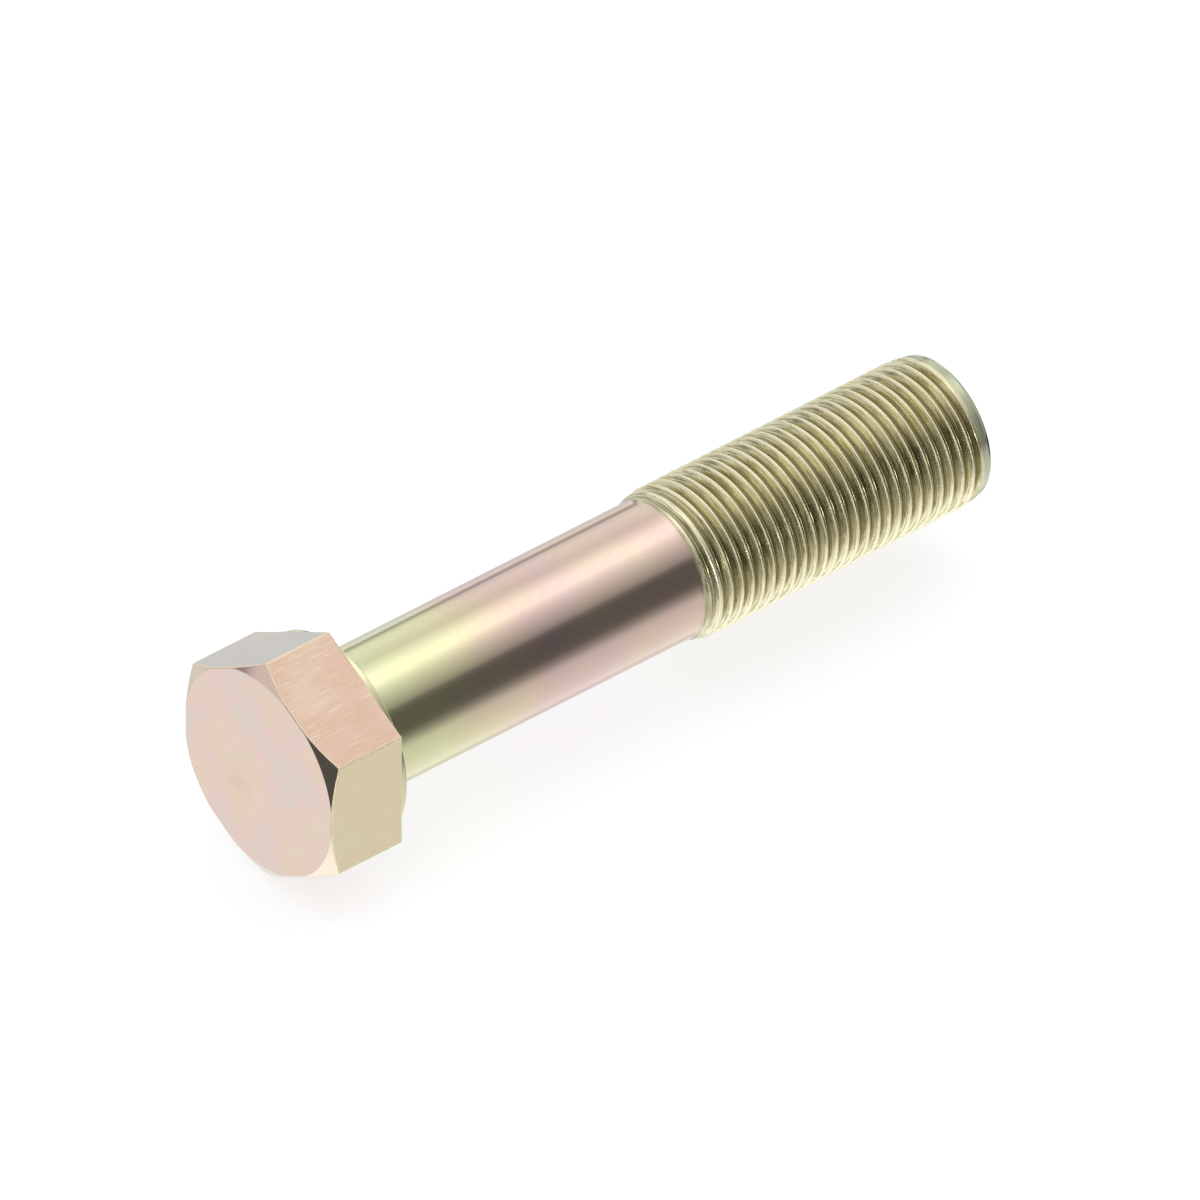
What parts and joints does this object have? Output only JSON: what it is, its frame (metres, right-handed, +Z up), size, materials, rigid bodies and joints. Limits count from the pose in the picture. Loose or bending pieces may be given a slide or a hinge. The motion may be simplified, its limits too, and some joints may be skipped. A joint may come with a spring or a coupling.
{
  "type": "hex bolt",
  "caption": "Partly threaded hexagon head bolt with a fine-pitch thread, a plain reduced shank and a raised washer face, in yellow passivated zinc.",
  "frame": {"origin": "centre of the bearing face, the ring under the head that presses on the joint, on the bolt's axis", "axes": "+X along the bolt's axis from head to tip; +Z up, through a corner of the hexagon; +Y through the middle of a flat"},
  "size_m": [0.1305, 0.0334, 0.0384],
  "materials": {
    "yellow_zinc_steel": "bright zinc plate with yellow iridescent passivation, satin"
  },
  "bodies": {
    "root": {"hex_bolt": "yellow_zinc_steel"}
  },
  "joints": []
}
